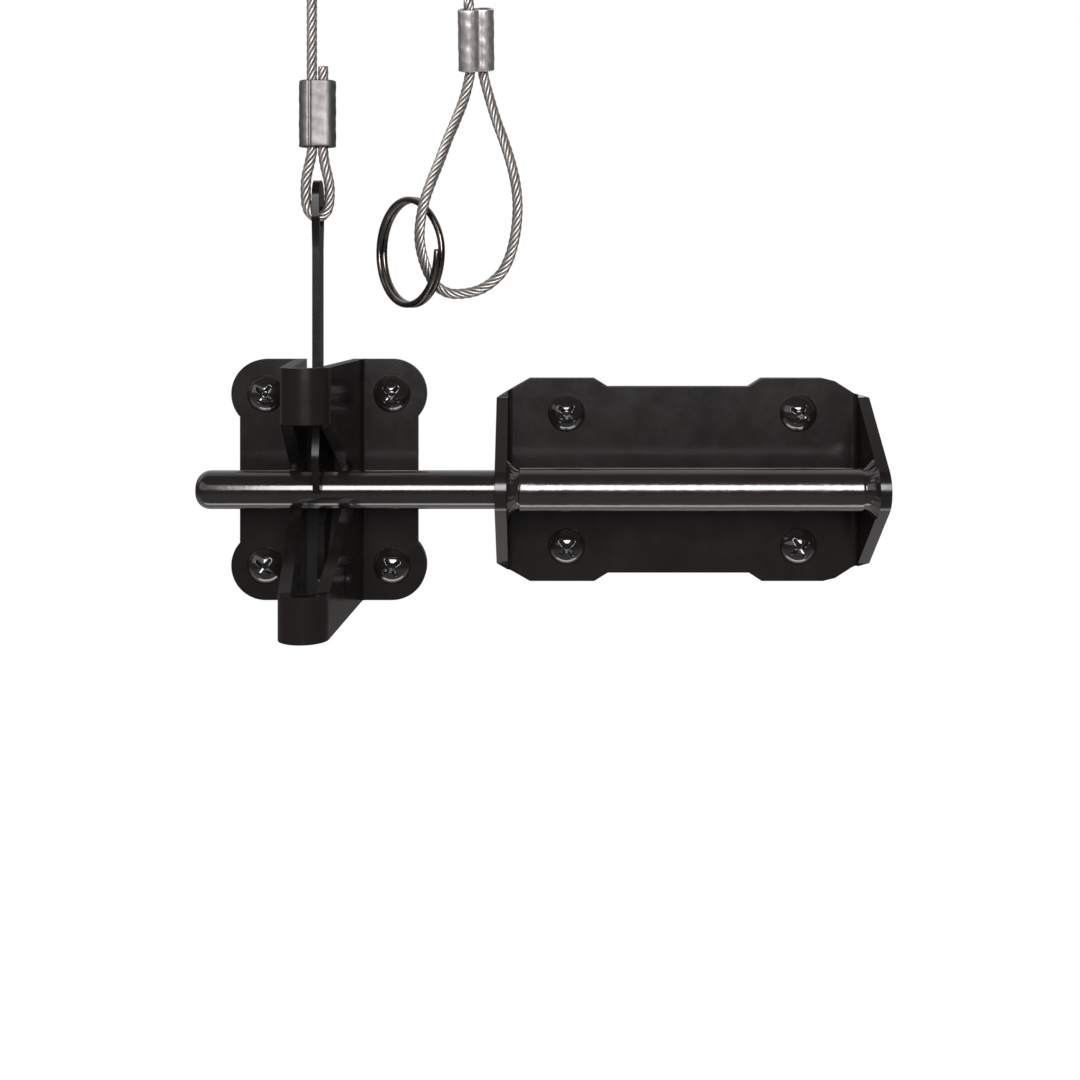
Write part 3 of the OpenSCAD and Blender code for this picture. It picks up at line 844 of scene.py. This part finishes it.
def build_screw(name, node, turn):
    """A round-head wood screw with a cross recess, a plain neck, a thread and a gimlet point."""
    low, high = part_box(node)
    head_r = (high.x - low.x) / 2
    centre_x, centre_z = (low.x + high.x) / 2, (low.z + high.z) / 2
    seat_y = -3 * MM
    head_h = seat_y - low.y
    lip = 0.35 * MM
    ball_r = (head_r**2 + (head_h - lip) ** 2) / (2 * (head_h - lip))
    sides, rings = 112, 44
    points, faces = [(centre_x, low.y + recess_depth(0, 0, turn), centre_z)], []
    for i in range(1, rings + 1):
        r = head_r * (i / rings) ** 0.9
        for k in range(sides):
            t = TURN * k / sides
            x, z = r * math.cos(t), r * math.sin(t)
            dome = ball_r - math.sqrt(max(ball_r**2 - r**2, 0))
            edge = max(0.0, (r / head_r - 0.95) / 0.05)
            y = low.y + dome + 0.12 * MM * edge**2 + recess_depth(x, z, turn)
            points.append((centre_x + x, min(y, seat_y - 0.1 * MM), centre_z + z))
    faces += [(0, 1 + k, 1 + (k + 1) % sides) for k in range(sides)]
    faces += grid_faces(rings, sides, 1)
    last = 1 + (rings - 1) * sides
    for k in range(sides):
        t = TURN * k / sides
        reach_x, reach_z = 0.96 * head_r * math.cos(t), 0.96 * head_r * math.sin(t)
        points.append((centre_x + reach_x, seat_y, centre_z + reach_z))
    foot = last + sides
    faces += grid_faces(2, sides, last)
    faces.append(tuple(range(foot, foot + sides)))
    head = add_mesh(name + "_head", points, faces)
    weld_points(head)
    seat = (centre_x, seat_y, centre_z)
    shank = build_shank(name + "_shank", seat, high.y - seat_y, 2.4 * MM, 3 * MM, 3 * MM)
    return joined(name, [head, shank])


def build_shank(name, place, length, radius, neck, tip):
    """A wood screw's shank, running back along +Y from place."""
    sides, step = 28, 0.21 * MM
    root = radius * 0.68
    rings = int(length / step)
    points = []
    for i in range(rings + 1):
        d = length * i / rings
        taper = min(1, max(0.0, (length - d) / tip)) ** 0.8
        for k in range(sides):
            t = TURN * k / sides
            phase = (d / SCREW_PITCH - k / sides) % 1
            ridge = max(0, 1 - abs(phase - 0.5) / 0.26)
            thread = root + (radius - root) * ridge**0.8
            blend = min(1, max(0, (d - neck) / (1.2 * MM)))
            r = (radius * 0.97 * (1 - blend) + thread * blend) * max(taper, 0.04)
            points.append((place[0] + r * math.cos(t), place[1] + d, place[2] + r * math.sin(t)))
    faces = grid_faces(rings + 1, sides)
    faces.append(tuple(range(sides))[::-1])
    faces.append(tuple(range(rings * sides, (rings + 1) * sides)))
    piece = add_mesh(name, points, faces)
    weld_points(piece)
    return piece


screw_rng = np.random.default_rng(21)
for side, body in (("latch", "post_side"), ("striker", "gate_side")):
    for corner in ("upper_left", "upper_right", "lower_left", "lower_right"):
        node = f"{side}_screw_{corner}"
        turn = math.radians(45) + screw_rng.uniform(-0.25, 0.25)
        screw = build_screw(node + "_wood_screw", node, turn)
        finish_piece(screw, SCREW_COAT, body, node)

# ---------------------------------------------------------------- hook


def build_hook():
    """A wall hook: a turned flange, a rod with an upturned tip, and a threaded shank behind."""
    low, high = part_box("cable_hook")
    rod_r, flange_r, flange_t = 2.2 * MM, 8 * MM, 2.5 * MM
    x, z = (low.x + high.x) / 2, low.z + flange_r
    bend_r = 4 * MM
    bend_y = low.y + rod_r + bend_r
    tip_z = high.z - rod_r
    line = [np.array([x, y, z]) for y in np.linspace(0, bend_y, 40)]
    for a in np.linspace(0, math.pi / 2, 14)[1:]:
        line.append(np.array([x, bend_y - bend_r * math.sin(a), z + bend_r * (1 - math.cos(a))]))
    line += [np.array([x, bend_y - bend_r, h]) for h in np.linspace(z + bend_r, tip_z, 8)[1:]]
    scales = [1.0] * len(line)
    for a in np.linspace(0, math.pi / 2, 10)[1:]:
        line.append(np.array([x, bend_y - bend_r, tip_z + rod_r * math.sin(a)]))
        scales.append(max(math.cos(a), 0.02))
    rod = sweep("hook_rod", np.array(line), circle(rod_r, 32), np.array([1.0, 0, 0]), scales)
    soft = 0.5 * MM
    profile = [
        (0, 0), (flange_r - 0.2 * MM, 0), (flange_r, 0.2 * MM), (flange_r, flange_t - 2 * soft)
    ]
    profile += [
        (flange_r - soft * 2 * (1 - math.cos(a)), flange_t - 2 * soft + 2 * soft * math.sin(a))
        for a in np.linspace(0.2, math.pi / 2, 8)
    ]
    profile += [
        (rod_r + 0.9 * MM, flange_t), (rod_r + 0.3 * MM, flange_t + 0.15 * MM),
        (rod_r * 0.9, flange_t + 0.9 * MM)
    ]
    flange = lathe("hook_flange", profile, (x, 0, z), (0, -1, 0))
    shank = build_shank("hook_shank", (x, 0, z), high.y, rod_r, 2 * MM, 4 * MM)
    whole = joined("cable_wall_hook", [rod, flange, shank])
    add_edge_split(whole)
    return whole


finish_piece(build_hook(), HOOK_STEEL, "post_side", "cable_hook")

# ---------------------------------------------------------------- CAD nodes that stay


def repaint(node, material):
    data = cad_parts[node].data
    data.materials.clear()
    data.materials.append(material)


repaint("pivot_pin", COAT)
repaint("spacer_left", SPACER_STEEL)
repaint("spacer_right", SPACER_STEEL)

# ---------------------------------------------------------------- stage and light


def area_light(name, place, target, size, power):
    data = bpy.data.lights.new(name, "AREA")
    data.shape = "RECTANGLE"
    data.size, data.size_y = size
    data.energy = power
    light = bpy.data.objects.new(name, data)
    light.location = place
    aim = Vector(target) - Vector(place)
    light.rotation_euler = aim.to_track_quat("-Z", "Y").to_euler()
    bpy.context.scene.collection.objects.link(light)


def add_floor():
    size, height, back = 1.6, -0.62, 0.72
    front = -0.12
    corners = [
        (-size, front, height), (size, front, height),
        (size, back, height), (-size, back, height)
    ]
    floor = add_mesh("floor", corners, [(0, 1, 2, 3)], smooth=False)
    s = Shader("floor_paper")
    grain = s.noise(90, 4)
    tone = s.ramp(grain, [(0.3, (0.80, 0.80, 0.79)), (0.7, (0.84, 0.84, 0.83))])
    s.set(Base_Color=tone, Roughness=0.9, Normal=s.bump(grain, 0.0002, 0.3))
    floor.data.materials.append(s.material)


def add_painted_shade_card():
    """A dark card behind the channel's open back, painted as the shade inside the channel, seen only
    from the front.
    """
    low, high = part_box("latch_body")
    half, y = 8 * MM, high.y + 0.3 * MM
    bottom, top = low.z + 0.2 * MM, high.z - 2.8 * MM
    corners = [(-half, y, bottom), (half, y, bottom), (half, y, top), (-half, y, top)]
    card = add_mesh("painted_shade_card", corners, [(0, 1, 2, 3)], smooth=False)
    s = Shader("painted_shade_card_paint")
    grain = s.noise(60, 5, 0.6, s.stretched((6, 1, 1)))
    tone = s.ramp(grain, [(0.3, (0.0015, 0.001, 0.001)), (0.7, (0.005, 0.0035, 0.003))])
    s.set(Base_Color=tone, Roughness=0.85)
    clear = s.add("ShaderNodeBsdfTransparent")
    pick = s.add("ShaderNodeMixShader")
    s.link(s.add("ShaderNodeNewGeometry").outputs["Backfacing"], pick.inputs[0])
    s.link(s.bsdf.outputs[0], pick.inputs[1])
    s.link(clear.outputs[0], pick.inputs[2])
    s.link(pick.outputs[0], s.tree.nodes["Material Output"].inputs["Surface"])
    card.data.materials.append(s.material)


def add_world():
    """A white backdrop for the camera. The object sees a dim room, brighter behind, above and below."""
    world = bpy.data.worlds.new("studio")
    world.use_nodes = True
    tree = world.node_tree
    shade = tree.nodes["Background"]
    coordinates = tree.nodes.new("ShaderNodeTexCoord")
    split = tree.nodes.new("ShaderNodeSeparateXYZ")
    tree.links.new(coordinates.outputs["Generated"], split.inputs[0])

    def fade(axis, start, end, top):
        """Brightness that rises from 0 to top between two places on an axis of the view."""
        node = tree.nodes.new("ShaderNodeMapRange")
        for socket, number in (("From Min", start), ("From Max", end), ("To Min", 0), ("To Max", top)):
            node.inputs[socket].default_value = number
        tree.links.new(split.outputs[axis], node.inputs["Value"])
        return node.outputs["Result"]

    both = tree.nodes.new("ShaderNodeMath")
    both.operation = "MULTIPLY_ADD"
    tree.links.new(fade("Y", 0, 0.3, 1), both.inputs[0])
    tree.links.new(fade("Z", 0.12, 0.38, 0.95), both.inputs[1])
    both.inputs[2].default_value = 0.12
    total = tree.nodes.new("ShaderNodeMath")
    tree.links.new(both.outputs[0], total.inputs[0])
    tree.links.new(fade("Z", -0.2, -0.45, 0.3), total.inputs[1])
    tree.links.new(total.outputs[0], shade.inputs["Strength"])
    white = tree.nodes.new("ShaderNodeBackground")
    white.inputs["Strength"].default_value = 1.0
    path = tree.nodes.new("ShaderNodeLightPath")
    mix = tree.nodes.new("ShaderNodeMixShader")
    shade.inputs["Color"].default_value = (1.0, 0.985, 0.97, 1)
    white.inputs["Color"].default_value = (1, 1, 1, 1)
    tree.links.new(path.outputs["Is Camera Ray"], mix.inputs[0])
    tree.links.new(shade.outputs[0], mix.inputs[1])
    tree.links.new(white.outputs[0], mix.inputs[2])
    tree.links.new(mix.outputs[0], tree.nodes["World Output"].inputs["Surface"])
    bpy.context.scene.world = world


add_floor()
# A dark card of painted shade fills the channel's open back.
add_painted_shade_card()
add_world()
area_light("front_window", (0.11, -0.95, 0.31), (0.13, 0, 0.02), (0.64, 0.42), 24)
area_light("left_window", (-0.65, -0.57, 0.34), (0.03, -0.02, 0.06), (1.15, 0.56), 3.2)
area_light("low_strip", (0.05, -0.035, -0.5), (0.05, -0.03, 0), (0.7, 0.09), 1.1)
bpy.context.scene.view_settings.view_transform = "Standard"
